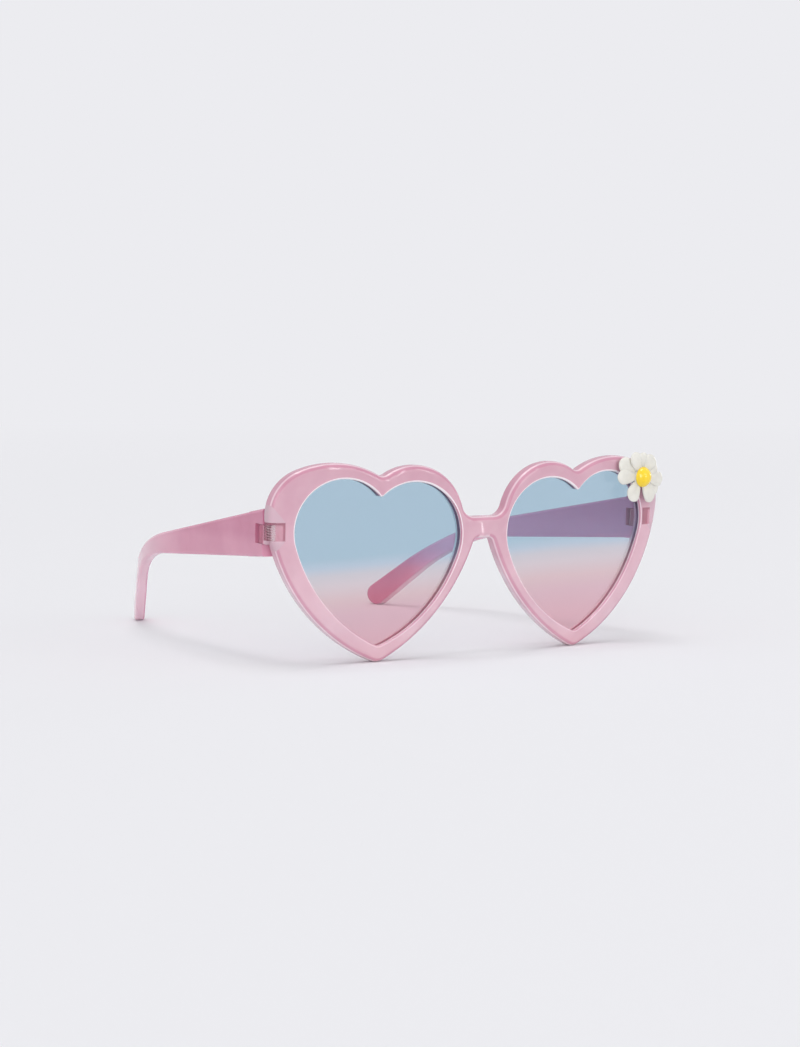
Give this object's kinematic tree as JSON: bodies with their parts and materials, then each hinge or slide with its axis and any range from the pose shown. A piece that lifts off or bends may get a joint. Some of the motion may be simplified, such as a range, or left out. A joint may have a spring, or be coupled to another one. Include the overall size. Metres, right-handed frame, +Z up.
{
  "type": "heart shaped sunglasses",
  "caption": "Heart shaped sunglasses: a clear pearl pink plastic front, tinted curved lenses, pink temples that fold on metal hinge screws, and a daisy stuck on an upper corner.",
  "frame": {"origin": "on the plane that the heart tips and the temple tips stand on, in the middle plane, under the front face of the bridge", "axes": "+Z up from that plane, +Y back along the temples, +X to the wearer's left"},
  "size_m": [0.1304, 0.1336, 0.0557],
  "materials": {
    "pearl_pink_clear_plastic": "polished clear injection moulding with a pearl pink face",
    "pink_clear_plastic": "polished translucent injection moulding",
    "tinted_lens_plastic": "polished, graded tint from blue at the top to pink at the bottom",
    "hinge_steel": "turned and threaded steel",
    "white_petal_plastic": "milky, softly polished",
    "yellow_dome_plastic": "high gloss",
    "clear_adhesive": "cured clear bond"
  },
  "bodies": {
    "front": {"front_frame": "pearl_pink_clear_plastic", "left_lens": "tinted_lens_plastic", "right_lens": "tinted_lens_plastic", "daisy_petals": "white_petal_plastic", "daisy_centre": "yellow_dome_plastic", "daisy_adhesive": "clear_adhesive"},
    "left_temple": {"left_temple": "pink_clear_plastic", "left_hinge_screw": "hinge_steel"},
    "right_temple": {"right_temple": "pink_clear_plastic", "right_hinge_screw": "hinge_steel"}
  },
  "joints": [
    {"name": "left_temple_fold", "type": "hinge", "parent": "front", "child": "left_temple", "pos_m": [0.06205, 0.01022, 0.03576], "axis": [0, -0.0448, 0.999], "range_deg": [0, 84]},
    {"name": "right_temple_fold", "type": "hinge", "parent": "front", "child": "right_temple", "pos_m": [-0.06205, 0.01022, 0.03576], "axis": [0, 0.0448, -0.999], "range_deg": [0, 78]}
  ]
}
